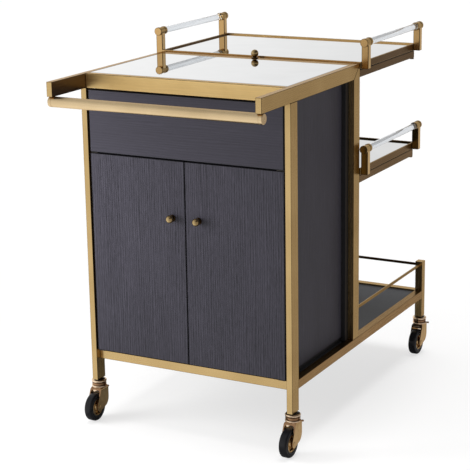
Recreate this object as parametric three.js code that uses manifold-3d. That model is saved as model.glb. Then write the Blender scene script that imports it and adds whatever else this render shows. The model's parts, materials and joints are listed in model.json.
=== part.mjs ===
// A wheeled drinks and food service trolley: a brass-finish tube frame on four swivel casters,
// a cabinet with two doors and a lidded well at the front, and at the back two lift-off
// mirror trays with clear handles over a low shelf with a gallery rail.
// Millimetres. +X is right, +Y is from the push bar to the back, +Z is up.
// Lengths along Y are counted from the front faces of the front legs; the last line moves the
// whole trolley so that its origin is on the floor, at the centre of its outline.
import * as THREE from "three";
import { mergeVertices } from "three/addons/utils/BufferGeometryUtils.js";
import Module from "manifold-3d";

const wasm = await Module();
wasm.setup();

// ---- Driving dimensions -------------------------------------------------------------------
const TOP = 877; // top of the side rails above the floor
const HALF_WIDTH = 278; // centre plane to the outer face of the side frames
const OVERHANG = 141; // side rails in front of the front legs
const POST_FRONT = 349; // front face of the mid posts
const FRAME_REAR = 843; // rear face of the rear legs
const TUBE_THIN = 15; // flat tube of the side frames, across X
const TUBE_WIDE = 35; // the same tube, its wide side
const BASE_THIN = 20; // tube of the base rails and rear legs, across X
const BASE_WIDE = 22; // the same tube, its other side
const WALL = 1.5; // wall of every steel tube
const CASTER_HEIGHT = 104; // floor to the bottom of the legs
const BASE_TOP = 180; // top of the base rails
const REAR_LEG_TOP = 263;
const GALLERY_HEIGHT = 252.5; // centre of the gallery bars
const GALLERY_RADIUS = 3.75;
const PUSH_BAR_RADIUS = 12.5;
const GAP = 0.3; // clearance between pieces that touch

const PANEL = 16; // cabinet boards
const SIDE_OUTER = 252; // outer face of the cabinet sides
const CABINET_BACK = 334; // front face of the cabinet's back board
const BACK_THICK = 18; // back board; it stands a little way in between the mid posts
const SIDE_BOTTOM = 190; // the cabinet sides stand on the plinth of the cabinet floor
const PLINTH_INSET = 3; // plinth behind the outer face of the sides
const DOOR_THICK = 18;
const DOOR_FRONT = 2; // door and apron faces behind the front of the legs
const DOOR_BOTTOM = 186;
const DOOR_TOP = 684;
const DOOR_EDGE = 258.5; // outer edge of a door
const MEETING_GAP = 3; // gap between the two doors
const HINGE_X = 255; // door pivot
const HINGE_Y = 8;
const HINGE_RADIUS = 2.5;
const HINGE_PLATE = 2; // thickness of the plates at the ends of a hinge pin
const HINGE_CLEAR = 1; // door end to plate
const HINGE_PLATE_HALF = 4; // plate in front of the pin's axis
const APRON_BOTTOM = 688;
const APRON_TOP = 838;
const SIDE_TOP = 850; // cabinet sides, clear of the lid's front edge as the lid turns
const SHELF_BOARD_TOP = 176; // board of the low shelf behind the cabinet
const WELL_FLOOR_THICK = 12;
const SHELF_HEIGHT = 430; // underside of the shelf inside the cabinet
const SHELF_FRONT = 40; // front edge of that shelf, set back from the doors
const KNOB_RADIUS = 9.5;
const KNOB_ROSE_RADIUS = 6; // foot of a knob
const KNOB_ROSE_THICK = 1.2;
const KNOB_STEM_RADIUS = 4;
const KNOB_REACH = 12; // mounting face to the centre of a knob's ball
const KNOB_HEIGHT = 546;
const KNOB_OFFSET = 35.5;

const LID_THICK = 14;
const MIRROR_THICK = 5;
const LID_FRONT = 19;
const LID_GAP = 1; // lid to the side rails
const LID_PIVOT_Y = 33;
const LID_PIVOT_Z = TOP - 9.5;
const LID_PIVOT_RADIUS = 2.5;

const TRAY_HALF = 280; // half the width of a tray
const TRAY_FRONT = 386;
const TRAY_REAR = 743;
const TRAY_RIM_TOP = TOP + 3.5; // the top tray's rim; the middle tray is the same, lower
const TRAY_DEPTH = 19.5;
const TRAY_RIM = 4; // rim thickness
const TRAY_SHEET = 1.5; // sheet under the mirror, between the rims
const TRAY_FOOT = 2.5; // foot under the rim, set in from it, that lies on the bearer
const TRAY_FOOT_INSET = 3;
const TRAY_DROP = 263; // top tray to middle tray
const BEARER_THICK = 17;
const BEARER_REAR = 738;
const BEARER_BAR = 20;
const STUD_RADIUS = 5;
const STUD_DROP = 5;
const HANDLE_RISE = 47; // rim top to the centre line of a handle
const HANDLE_POST_WIDE = 18;
const HANDLE_POST_DEEP = 16;
const HANDLE_POST_INSET = 2;
const KNUCKLE_RADIUS = 10.5;
const KNUCKLE_FRONT = 6; // knuckle beyond the outer face of its post
const KNUCKLE_REAR = 11; // knuckle beyond the inner face of its post
const ROD_RADIUS = 8;
const ROD_SEAT = 9; // depth that a rod goes into its knuckle

const WHEEL_RADIUS = 35;
const WHEEL_WIDTH = 21;
const TRAIL = 24; // swivel axis to wheel axle
const HUB_RADIUS = 22;
const AXLE_RADIUS = 4;
const HOUSING_RADIUS = 18; // round housing of the swivel bearing
const HOUSING_HEIGHT = 22;
const LIP = 1; // lips round the top and bottom of the housing
const FORK_THICK = 3.5;
const FORK_CLEAR = 2; // fork arm to wheel
const EYE_RADIUS = 11; // end of a fork arm round the axle
const AXLE_END = 1.5; // axle beyond the fork arms
const LOCK_SCREW_RADIUS = 2.2; // screw in the side of the housing
const LOCK_SCREW_DROP = 12; // below the top of the housing
const TYRE_SHOULDER = 4; // rounding of the tyre's edges

const STEM_RADIUS = 5; // swivel stem inside the foot of its leg
const STEM_LENGTH = 22;

const RING = 32; // facets round wheels
const ROUND = 24; // facets round bars, pins and knobs
const SMALL = 16; // facets round studs, axles and screws

const LEFT = -1;
const RIGHT = 1;
const SIDES = [["left", LEFT], ["right", RIGHT]];

// ---- Materials ----------------------------------------------------------------------------
function metal(color, roughness) {
  return new THREE.MeshStandardMaterial({ color, roughness, metalness: 1 });
}

function plain(color, roughness) {
  return new THREE.MeshStandardMaterial({ color, roughness, metalness: 0 });
}

const brass = metal(0xa98a55, 0.35);
const copper = metal(0x9c6a48, 0.2);
const steel = metal(0x6f6a60, 0.4);
const mirror = metal(0xe6e6e8, 0.03);
const wood = plain(0x3a383d, 0.6);
const carcass = plain(0x262527, 0.7);
const acrylic = plain(0xeef2f4, 0.05);
const tyreRubber = plain(0x17171a, 0.6);

// ---- Geometry helpers ---------------------------------------------------------------------
function box(x0, x1, y0, y1, z0, z1) {
  const geometry = new THREE.BoxGeometry(x1 - x0, y1 - y0, z1 - z0);
  return geometry.translate((x0 + x1) / 2, (y0 + y1) / 2, (z0 + z1) / 2);
}

// A round bar from a point, along "x", "y" or "z".
function bar(axis, start, length, radius, facets = ROUND) {
  const geometry = new THREE.CylinderGeometry(radius, radius, length, facets);
  if (axis === "x") geometry.rotateZ(Math.PI / 2);
  if (axis === "z") geometry.rotateX(Math.PI / 2);
  const middle = new THREE.Vector3(...start);
  middle[axis] += length / 2;
  return geometry.translate(middle.x, middle.y, middle.z);
}

function solid(geometry) {
  const bare = geometry.index ? geometry.toNonIndexed() : geometry.clone();
  bare.deleteAttribute("normal");
  bare.deleteAttribute("uv");
  const merged = mergeVertices(bare, 1e-3);
  const mesh = new wasm.Mesh({
    numProp: 3,
    vertProperties: new Float32Array(merged.attributes.position.array),
    triVerts: new Uint32Array(merged.index.array),
  });
  return new wasm.Manifold(mesh);
}

function geometryOf(body) {
  const mesh = body.getMesh();
  const geometry = new THREE.BufferGeometry();
  geometry.setAttribute("position", new THREE.BufferAttribute(mesh.vertProperties, 3));
  geometry.setIndex(new THREE.BufferAttribute(mesh.triVerts, 1));
  const flat = geometry.toNonIndexed();
  flat.computeVertexNormals();
  return flat;
}

function join(...geometries) {
  const whole = geometries.map(solid).reduce((sum, next) => sum.add(next));
  return geometryOf(whole);
}

function cut(geometry, ...tools) {
  const rest = tools.map(solid).reduce((body, tool) => body.subtract(tool), solid(geometry));
  return geometryOf(rest);
}

// A rectangular tube along one axis. It is closed at its start when "capped" says so.
function tube(axis, x0, x1, y0, y1, z0, z1, capped = false) {
  const low = [x0 + WALL, y0 + WALL, z0 + WALL];
  const high = [x1 - WALL, y1 - WALL, z1 - WALL];
  const i = "xyz".indexOf(axis);
  low[i] -= capped ? 0 : 2 * WALL;
  high[i] += 2 * WALL;
  const bore = box(low[0], high[0], low[1], high[1], low[2], high[2]);
  return cut(box(x0, x1, y0, y1, z0, z1), bore);
}

// A leg: an upright tube, solid at the foot but for a bore that takes the stem of a caster.
function legTube(x0, x1, y0, y1, top) {
  const plugTop = CASTER_HEIGHT + STEM_LENGTH + GAP;
  const leg = join(tube("z", x0, x1, y0, y1, CASTER_HEIGHT, top),
    box(x0, x1, y0, y1, CASTER_HEIGHT, plugTop));
  const foot = [(x0 + x1) / 2, (y0 + y1) / 2, CASTER_HEIGHT - 1];
  return cut(leg, bar("z", foot, STEM_LENGTH + 2, STEM_RADIUS + GAP));
}

// The span [low, high] of a piece that lies between two distances from the centre plane.
function span(side, inner, outer) {
  return side === LEFT ? [-outer, -inner] : [inner, outer];
}

const trolley = new THREE.Group();

function add(name, geometry, material, place = [0, 0, 0]) {
  const mesh = new THREE.Mesh(geometry, material);
  mesh.name = name;
  mesh.position.set(...place);
  trolley.add(mesh);
}

// ---- Frame --------------------------------------------------------------------------------
const INNER = HALF_WIDTH - TUBE_THIN; // inner face of the side frames
const RAIL_BOTTOM = TOP - TUBE_WIDE;
const POST_REAR = POST_FRONT + TUBE_WIDE;
const BASE_INNER = HALF_WIDTH - BASE_THIN;
const BASE_BOTTOM = BASE_TOP - BASE_WIDE;
const REAR_LEG_FRONT = FRAME_REAR - BASE_WIDE;
const LEDGE = 10; // base rail ledges under the cabinet floor and the shelf board
const LEDGE_THICK = 3;

// The wedge of the top rear corner, on one side of the mitre between side rail and mid post.
function mitreWedge(x0, x1, above) {
  const reach = 2 * TUBE_WIDE;
  const shift = above ? -GAP : GAP;
  const outline = new THREE.Shape();
  outline.moveTo(POST_FRONT - reach, RAIL_BOTTOM - reach + shift);
  outline.lineTo(POST_REAR + reach, TOP + reach + shift);
  if (above) outline.lineTo(POST_FRONT - reach, TOP + reach + shift);
  else outline.lineTo(POST_REAR + reach, RAIL_BOTTOM - reach + shift);
  outline.closePath();
  const wedge = new THREE.ExtrudeGeometry(outline, { depth: x1 - x0 + 2, bevelEnabled: false });
  wedge.rotateY(Math.PI / 2);
  wedge.rotateX(Math.PI / 2);
  return wedge.translate(x0 - 1, 0, 0);
}

function addSideFrames() {
  for (const [label, side] of SIDES) {
    const [x0, x1] = span(side, INNER, HALF_WIDTH);
    add(`front_leg_${label}`,
      legTube(x0, x1, 0, TUBE_WIDE, RAIL_BOTTOM - GAP), brass);
    const rail = tube("y", x0, x1, -OVERHANG, POST_REAR, RAIL_BOTTOM, TOP, true);
    add(`side_rail_${label}`, cut(rail, mitreWedge(x0, x1, false)), brass);
    const post = tube("z", x0, x1, POST_FRONT, POST_REAR, BASE_TOP + GAP, TOP);
    add(`mid_post_${label}`, cut(post, mitreWedge(x0, x1, true)), brass);
  }
}

function addBase() {
  for (const [label, side] of SIDES) {
    const [x0, x1] = span(side, BASE_INNER, HALF_WIDTH);
    const rail = tube("y", x0, x1, TUBE_WIDE + GAP, REAR_LEG_FRONT - GAP, BASE_BOTTOM, BASE_TOP);
    const [l0, l1] = span(side, BASE_INNER - LEDGE, BASE_INNER + WALL);
    const ledges = [
      [TUBE_WIDE + GAP, POST_FRONT - BASE_THIN - GAP],
      [POST_FRONT + GAP, REAR_LEG_FRONT - GAP],
    ].map(([front, rear]) =>
      box(l0, l1, front, rear, BASE_BOTTOM, BASE_BOTTOM + LEDGE_THICK));
    add(`base_rail_${label}`, join(rail, ...ledges), brass);
    const leg = legTube(x0, x1, REAR_LEG_FRONT, FRAME_REAR, REAR_LEG_TOP - WALL);
    const cap = box(x0, x1, REAR_LEG_FRONT, FRAME_REAR, REAR_LEG_TOP - 2 * WALL, REAR_LEG_TOP);
    add(`rear_leg_${label}`, join(leg, cap), brass);
  }
  const crossRails = [
    ["base_rail_front", INNER, TUBE_WIDE - BASE_THIN, TUBE_WIDE],
    ["base_rail_middle", BASE_INNER, POST_FRONT - BASE_THIN, POST_FRONT],
    ["base_rail_rear", BASE_INNER, REAR_LEG_FRONT, FRAME_REAR],
  ];
  for (const [name, half, front, rear] of crossRails) {
    const reach = half - GAP;
    add(name, tube("x", -reach, reach, front, rear, BASE_BOTTOM, BASE_TOP), brass);
  }
}

function addCrossRails() {
  const reach = INNER - GAP;
  add("front_cross_rail", tube("x", -reach, reach, 0, TUBE_THIN, RAIL_BOTTOM, TOP), brass);
  add("rear_cross_rail", tube("x", -reach, reach, POST_FRONT, POST_REAR,
    RAIL_BOTTOM, TOP - LID_THICK - GAP), brass);
}

// The push bar hangs under the front ends of the side rails, its front level with theirs. It
// is closed at both ends and has a vent hole underneath.
function addPushBar() {
  const y = -OVERHANG + PUSH_BAR_RADIUS;
  const z = RAIL_BOTTOM - GAP - PUSH_BAR_RADIUS;
  const outside = bar("x", [-HALF_WIDTH, y, z], 2 * HALF_WIDTH, PUSH_BAR_RADIUS, RING);
  const reach = HALF_WIDTH - WALL;
  const bore = bar("x", [-reach, y, z], 2 * reach, PUSH_BAR_RADIUS - WALL, RING);
  const vent = bar("z", [reach - 20, y, z - 2 * PUSH_BAR_RADIUS], 2 * PUSH_BAR_RADIUS, 2, 12);
  add("push_bar", cut(outside, bore, vent), brass);
}

function addGallery() {
  const x = HALF_WIDTH - BASE_THIN / 2;
  const y = FRAME_REAR - BASE_WIDE / 2;
  for (const [label, side] of SIDES)
    add(`gallery_bar_${label}`,
      bar("y", [side * x, POST_REAR + GAP, GALLERY_HEIGHT],
        REAR_LEG_FRONT - POST_REAR - 2 * GAP, GALLERY_RADIUS), brass);
  const reach = BASE_INNER - GAP;
  add("gallery_bar_rear", bar("x", [-reach, y, GALLERY_HEIGHT], 2 * reach, GALLERY_RADIUS), brass);
}

// ---- Cabinet ------------------------------------------------------------------------------
const FRONT_EDGE = DOOR_FRONT + DOOR_THICK + GAP; // front edges of the cabinet boards
const SIDE_INNER = SIDE_OUTER - PANEL;
const LID_BOTTOM = TOP - LID_THICK;
const BOARD_HALF = SIDE_INNER - GAP; // half-width of the boards between the sides

// The cabinet floor: a board that fills the base frame, with a plinth on it that also lies on
// the front and middle base rails.
function cabinetFloor() {
  const reach = BASE_INNER - GAP;
  const board = box(-reach, reach, TUBE_WIDE + GAP, POST_FRONT - BASE_THIN - GAP,
    BASE_BOTTOM + LEDGE_THICK + GAP, BASE_TOP + GAP);
  const half = SIDE_OUTER - PLINTH_INSET;
  const plinth = box(-half, half, FRONT_EDGE, CABINET_BACK - GAP,
    BASE_TOP + GAP, SIDE_BOTTOM - GAP);
  return join(board, plinth);
}

function addCabinet() {
  const sideRear = CABINET_BACK - GAP;
  for (const [label, side] of SIDES) {
    const [x0, x1] = span(side, SIDE_INNER, SIDE_OUTER);
    add(`cabinet_side_${label}`,
      box(x0, x1, FRONT_EDGE, sideRear, SIDE_BOTTOM, SIDE_TOP), wood);
  }
  add("cabinet_floor", cabinetFloor(), carcass);
  add("cabinet_back", box(-INNER + GAP, INNER - GAP, CABINET_BACK, CABINET_BACK + BACK_THICK,
    BASE_TOP + GAP, RAIL_BOTTOM - GAP), wood);
  add("cabinet_shelf",
    box(-BOARD_HALF, BOARD_HALF, SHELF_FRONT, sideRear, SHELF_HEIGHT, SHELF_HEIGHT + PANEL),
    carcass);
  add("well_floor", box(-BOARD_HALF, BOARD_HALF, FRONT_EDGE, sideRear,
    APRON_BOTTOM, APRON_BOTTOM + WELL_FLOOR_THICK), carcass);
  add("apron", box(-DOOR_EDGE, DOOR_EDGE, DOOR_FRONT, DOOR_FRONT + DOOR_THICK,
    APRON_BOTTOM, APRON_TOP), wood);
}

// The bottom shelf board lies on the ledges of the base rails.
function addShelfBoard() {
  const reach = BASE_INNER - GAP;
  add("shelf_board", box(-reach, reach, POST_FRONT + GAP, REAR_LEG_FRONT - GAP,
    BASE_BOTTOM + LEDGE_THICK + GAP, SHELF_BOARD_TOP), wood);
}

// A ball knob on a short stem with a small rose, standing on z = 0.
function knob() {
  const stem = KNOB_STEM_RADIUS;
  const neck = KNOB_REACH - Math.sqrt(KNOB_RADIUS ** 2 - stem ** 2);
  const outline = [
    new THREE.Vector2(0, 0),
    new THREE.Vector2(KNOB_ROSE_RADIUS, 0),
    new THREE.Vector2(KNOB_ROSE_RADIUS, KNOB_ROSE_THICK),
    new THREE.Vector2(stem, 1.5 * KNOB_ROSE_THICK),
    new THREE.Vector2(stem, neck),
  ];
  const start = Math.asin(stem / KNOB_RADIUS);
  const steps = 7;
  for (let i = 1; i < steps; i++) {
    const angle = start + ((Math.PI - start) * i) / steps;
    const height = KNOB_REACH - KNOB_RADIUS * Math.cos(angle);
    outline.push(new THREE.Vector2(KNOB_RADIUS * Math.sin(angle), height));
  }
  outline.push(new THREE.Vector2(0, KNOB_REACH + KNOB_RADIUS));
  return new THREE.LatheGeometry(outline, ROUND).rotateX(Math.PI / 2);
}

// A full-height pin with a plate at each end that reaches back to the edge of the cabinet side.
function doorHinge(side) {
  const low = DOOR_BOTTOM - HINGE_CLEAR - HINGE_PLATE;
  const high = DOOR_TOP + HINGE_CLEAR;
  const pin = bar("z", [side * HINGE_X, HINGE_Y, low], high + HINGE_PLATE - low, HINGE_RADIUS);
  const [x0, x1] = span(side, SIDE_INNER + HINGE_PLATE_HALF, HINGE_X + HINGE_RADIUS);
  const plates = [low, high].map((z) =>
    box(x0, x1, HINGE_Y - HINGE_PLATE_HALF, FRONT_EDGE - GAP, z, z + HINGE_PLATE));
  return join(pin, ...plates);
}

function addDoors() {
  for (const [label, side] of SIDES) {
    const [x0, x1] = span(side, MEETING_GAP / 2, DOOR_EDGE);
    const leaf = box(x0, x1, DOOR_FRONT, DOOR_FRONT + DOOR_THICK, DOOR_BOTTOM, DOOR_TOP);
    const bore = bar("z", [side * HINGE_X, HINGE_Y, DOOR_BOTTOM - 1],
      DOOR_TOP - DOOR_BOTTOM + 2, HINGE_RADIUS + GAP);
    add(`door_${label}`, cut(leaf, bore), wood);
    add(`door_hinge_${label}`, doorHinge(side), steel);
    add(`door_knob_${label}`, knob().rotateX(Math.PI / 2), brass,
      [side * KNOB_OFFSET, DOOR_FRONT - GAP, KNOB_HEIGHT]);
  }
}

// ---- Lid of the well ----------------------------------------------------------------------
// A mirror on a board, with a brass strip and a lifting knob along its rear edge. It turns on
// a rod held between the side rails.
function addLid() {
  const reach = INNER - LID_GAP;
  const mirrorBottom = TOP - MIRROR_THICK;
  add("lid_mirror",
    box(-reach, reach, LID_FRONT, POST_FRONT - GAP, mirrorBottom, TOP), mirror);
  const board = box(-reach, reach, LID_FRONT, POST_FRONT - GAP, LID_BOTTOM, mirrorBottom - GAP);
  const bore = bar("x", [-HALF_WIDTH, LID_PIVOT_Y, LID_PIVOT_Z], 2 * HALF_WIDTH,
    LID_PIVOT_RADIUS + GAP);
  add("lid_board", cut(board, bore), carcass);
  add("lid_strip",
    tube("x", -reach, reach, POST_FRONT, POST_REAR - GAP, LID_BOTTOM, TOP), brass);
  add("lid_knob", knob(), brass,
    [0, POST_FRONT + TUBE_WIDE / 2, TOP + GAP]);
  const rod = INNER - GAP;
  add("lid_hinge_rod",
    bar("x", [-rod, LID_PIVOT_Y, LID_PIVOT_Z], 2 * rod, LID_PIVOT_RADIUS), steel);
}

// ---- Trays and their bearers -------------------------------------------------------------
const HANDLE_X = TRAY_HALF + HANDLE_POST_WIDE / 2;

// A rectangular ring, "thick" all round, in from a box by "inset" on every side.
function ring(half, front, rear, bottom, top, thick, inset = 0) {
  const wide = half - inset;
  const deep = inset + thick;
  return cut(
    box(-wide, wide, front + inset, rear - inset, bottom + inset, top - inset),
    box(deep - half, half - deep, front + deep, rear - deep, bottom - 1, top + 1));
}

// A ring of square tube behind the mid posts, with a stud down through each rear corner and a
// vent hole under its front bar.
function trayBearer(top) {
  const bottom = top - BEARER_THICK;
  const front = POST_REAR + GAP;
  const size = [HALF_WIDTH, front, BEARER_REAR, bottom, top];
  const vent = bar("z", [0, front + BEARER_BAR / 2, bottom - 1], BEARER_THICK / 2, 2, 12);
  const hollow = ring(...size, BEARER_BAR - 2 * WALL, WALL);
  const studs = [LEFT, RIGHT].map((side) =>
    bar("z", [side * (HALF_WIDTH - STUD_RADIUS - 1), BEARER_REAR, bottom - STUD_DROP],
      BEARER_THICK + STUD_DROP, STUD_RADIUS, SMALL));
  return join(cut(ring(...size, BEARER_BAR), hollow, vent), ...studs);
}

// The Y range of a post and of its knuckle, for the front and the rear end of a handle.
function handleEnds() {
  const front = TRAY_FRONT + HANDLE_POST_INSET;
  const rear = TRAY_REAR - HANDLE_POST_INSET;
  return [
    { post: front, knuckle: front - KNUCKLE_FRONT },
    { post: rear - HANDLE_POST_DEEP, knuckle: rear - HANDLE_POST_DEEP - KNUCKLE_REAR },
  ];
}

const KNUCKLE_LENGTH = KNUCKLE_FRONT + HANDLE_POST_DEEP + KNUCKLE_REAR;

function rodSpan() {
  const [front, rear] = handleEnds();
  return [front.knuckle + KNUCKLE_LENGTH - ROD_SEAT, rear.knuckle + ROD_SEAT];
}

function trayFrame(rimTop) {
  const bottom = rimTop - TRAY_DEPTH;
  const axis = rimTop + HANDLE_RISE;
  const sheetTop = rimTop - TRAY_RIM - MIRROR_THICK;
  const half = TRAY_HALF - TRAY_RIM;
  const inset = TRAY_FOOT_INSET;
  const pieces = [
    ring(TRAY_HALF, TRAY_FRONT, TRAY_REAR, bottom + TRAY_FOOT, rimTop, TRAY_RIM),
    ring(TRAY_HALF - inset, TRAY_FRONT + inset, TRAY_REAR - inset,
      bottom, bottom + 2 * TRAY_FOOT, TRAY_RIM),
    box(-half - 1, half + 1, TRAY_FRONT + 1, TRAY_REAR - 1, sheetTop - TRAY_SHEET, sheetTop),
  ];
  for (const side of [LEFT, RIGHT])
    for (const end of handleEnds()) {
      const [x0, x1] = span(side, TRAY_HALF - 1, TRAY_HALF + HANDLE_POST_WIDE);
      pieces.push(box(x0, x1, end.post, end.post + HANDLE_POST_DEEP, bottom, axis));
      pieces.push(bar("y", [side * HANDLE_X, end.knuckle, axis], KNUCKLE_LENGTH, KNUCKLE_RADIUS));
    }
  const [start, finish] = rodSpan();
  const seats = [LEFT, RIGHT].map((side) =>
    bar("y", [side * HANDLE_X, start, axis], finish - start, ROD_RADIUS + GAP));
  return cut(join(...pieces), ...seats);
}

function addTray(label, drop) {
  const rimTop = TRAY_RIM_TOP - drop;
  add(`${label}_tray_bearer`, trayBearer(rimTop - TRAY_DEPTH - GAP), brass);
  add(`${label}_tray_frame`, trayFrame(rimTop), brass);
  const inset = TRAY_RIM + GAP;
  const glassBottom = rimTop - TRAY_RIM - MIRROR_THICK + GAP;
  add(`${label}_tray_mirror`, box(-TRAY_HALF + inset, TRAY_HALF - inset,
    TRAY_FRONT + inset, TRAY_REAR - inset, glassBottom, glassBottom + MIRROR_THICK), mirror);
  const [start, finish] = rodSpan();
  for (const [name, side] of SIDES)
    add(`${label}_tray_rod_${name}`,
      bar("y", [side * HANDLE_X, start + GAP, rimTop + HANDLE_RISE],
        finish - start - 2 * GAP, ROD_RADIUS), acrylic);
}

// ---- Casters ------------------------------------------------------------------------------
// Each caster is drawn with its swivel axis at x = y = 0 and trails towards the push bar.
function turned(outline, facets) {
  const points = outline.map(([radius, height]) => new THREE.Vector2(radius, height));
  return new THREE.LatheGeometry(points, facets);
}

// A fork arm: from the full depth of the housing down to an eye round the axle, with its rear
// edge swept forward to the eye.
function forkArm() {
  const rear = HOUSING_RADIUS - LIP;
  const top = CASTER_HEIGHT - HOUSING_HEIGHT + 6;
  const outline = new THREE.Shape();
  outline.moveTo(-rear + 3, top);
  outline.lineTo(-TRAIL - EYE_RADIUS, WHEEL_RADIUS);
  outline.absarc(-TRAIL, WHEEL_RADIUS, EYE_RADIUS, Math.PI, 1.67 * Math.PI, false);
  outline.quadraticCurveTo(rear - 4, WHEEL_RADIUS - 6, rear, WHEEL_RADIUS + 18);
  outline.lineTo(rear, top);
  outline.closePath();
  const arm = new THREE.ExtrudeGeometry(outline,
    { depth: FORK_THICK, bevelEnabled: false, curveSegments: 8 });
  arm.rotateY(Math.PI / 2);
  arm.rotateX(Math.PI / 2);
  return arm;
}

function casterFork() {
  const top = CASTER_HEIGHT - GAP;
  const bottom = CASTER_HEIGHT - HOUSING_HEIGHT;
  const edge = HOUSING_RADIUS + LIP;
  const housing = turned([
    [0, bottom], [edge, bottom], [edge, bottom + 3 * LIP],
    [HOUSING_RADIUS, bottom + 4 * LIP], [HOUSING_RADIUS, top - 5 * LIP],
    [edge, top - 4 * LIP], [edge, top - 1.5 * LIP], [0, top],
  ], ROUND).rotateX(Math.PI / 2);
  const inner = WHEEL_WIDTH / 2 + FORK_CLEAR;
  const arms = [-inner - FORK_THICK, inner].map((x) => forkArm().translate(x, 0, 0));
  const reach = inner + FORK_THICK + AXLE_END;
  const axle = bar("x", [-reach, -TRAIL, WHEEL_RADIUS], 2 * reach, AXLE_RADIUS, SMALL);
  const screw = bar("x", [HOUSING_RADIUS / 2, 0, CASTER_HEIGHT - LOCK_SCREW_DROP],
    HOUSING_RADIUS / 2 + 6, LOCK_SCREW_RADIUS, SMALL);
  const stem = bar("z", [0, 0, bottom + 1], STEM_LENGTH + HOUSING_HEIGHT - 1, STEM_RADIUS);
  return join(housing, ...arms, axle, screw, stem);
}

// Wheel pieces are turned about the axle, which lies along X.
function wheelTyre() {
  const half = WHEEL_WIDTH / 2;
  const shoulder = WHEEL_RADIUS - TYRE_SHOULDER;
  const flat = half - TYRE_SHOULDER;
  return turned([
    [HUB_RADIUS, -half], [shoulder, -half], [WHEEL_RADIUS, -flat],
    [WHEEL_RADIUS, flat], [shoulder, half], [HUB_RADIUS, half],
    [HUB_RADIUS, -half],
  ], RING).rotateZ(Math.PI / 2);
}

// A dished hub with a boss round the axle.
function wheelHub() {
  const half = WHEEL_WIDTH / 2;
  const bore = AXLE_RADIUS + GAP;
  const boss = bore + 4;
  const dish = { radius: boss + 2, face: half - 5 };
  const rim = { radius: HUB_RADIUS - GAP, face: half - 2 };
  return turned([
    [bore, -half], [boss, -half], [dish.radius, -dish.face], [rim.radius, -rim.face],
    [rim.radius, rim.face], [dish.radius, dish.face], [boss, half], [bore, half],
    [bore, -half],
  ], ROUND).rotateZ(Math.PI / 2);
}

function addCasters() {
  const corners = [
    ["front", HALF_WIDTH - TUBE_THIN / 2, TUBE_WIDE / 2],
    ["rear", HALF_WIDTH - BASE_THIN / 2, FRAME_REAR - BASE_WIDE / 2],
  ];
  for (const [end, x, y] of corners)
    for (const [label, side] of SIDES) {
      const name = `caster_${end}_${label}`;
      add(`${name}_fork`, casterFork(), copper, [side * x, y, 0]);
      const axle = [side * x, y - TRAIL, WHEEL_RADIUS];
      add(`${name}_tyre`, wheelTyre(), tyreRubber, axle);
      add(`${name}_hub`, wheelHub(), copper, axle);
    }
}

addSideFrames();
addBase();
addCrossRails();
addPushBar();
addGallery();
addCabinet();
addShelfBoard();
addDoors();
addLid();
addTray("top", 0);
addTray("middle", TRAY_DROP);
addCasters();

const rearmost = FRAME_REAR - BASE_WIDE / 2 + HOUSING_RADIUS + LIP;
trolley.position.y = -(rearmost - OVERHANG) / 2;

export default trolley;
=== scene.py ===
import json
import math

import bmesh
import bpy
from mathutils import Matrix, Vector

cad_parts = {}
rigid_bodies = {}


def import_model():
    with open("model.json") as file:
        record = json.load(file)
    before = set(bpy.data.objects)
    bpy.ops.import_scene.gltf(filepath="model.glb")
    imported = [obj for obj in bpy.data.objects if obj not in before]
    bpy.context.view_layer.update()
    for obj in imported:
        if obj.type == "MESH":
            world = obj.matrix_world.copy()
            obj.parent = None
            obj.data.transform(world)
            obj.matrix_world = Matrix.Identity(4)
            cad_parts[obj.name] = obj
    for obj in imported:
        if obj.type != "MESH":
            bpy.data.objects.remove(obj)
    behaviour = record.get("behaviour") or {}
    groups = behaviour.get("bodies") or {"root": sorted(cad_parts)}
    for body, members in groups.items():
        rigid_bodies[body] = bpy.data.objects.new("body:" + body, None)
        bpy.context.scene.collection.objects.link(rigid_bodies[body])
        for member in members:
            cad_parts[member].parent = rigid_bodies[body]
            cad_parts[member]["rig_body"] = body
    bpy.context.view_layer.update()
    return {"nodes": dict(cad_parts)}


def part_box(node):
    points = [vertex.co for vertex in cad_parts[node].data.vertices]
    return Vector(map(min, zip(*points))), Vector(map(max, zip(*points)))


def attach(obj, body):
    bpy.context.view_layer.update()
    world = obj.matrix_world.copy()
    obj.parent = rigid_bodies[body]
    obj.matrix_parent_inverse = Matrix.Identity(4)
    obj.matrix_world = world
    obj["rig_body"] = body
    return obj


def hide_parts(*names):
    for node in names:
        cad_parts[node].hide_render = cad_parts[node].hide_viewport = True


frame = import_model()

# The drinks trolley's looks: brushed brass tubes, charcoal veneer, mirrors, clear handles and
# polished casters. Metres, in the frame's own axes: +X right, +Y to the back, +Z up.
#
# Finishes come first, as one dictionary of materials. Each finish_* function then makes the
# pieces that stand for some of the CAD's nodes, and takes its positions from the nodes' boxes.

MM = 0.001
NODES = frame["nodes"]
SIDES = (("left", -1), ("right", 1))
CORNERS = [f"{end}_{side}" for end in ("front", "rear") for side, _ in SIDES]
TRAYS = ("top", "middle")

# The studio
SENSOR_WIDTH, LENS = 36, 118.6  # millimetres
CAMERA_PLACE = (1.7726, -3.4040, 1.4491)
CAMERA_TURN = (28.27, 14.96, -0.92)  # azimuth, elevation and roll in degrees
CLIP_END = 200
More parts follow.
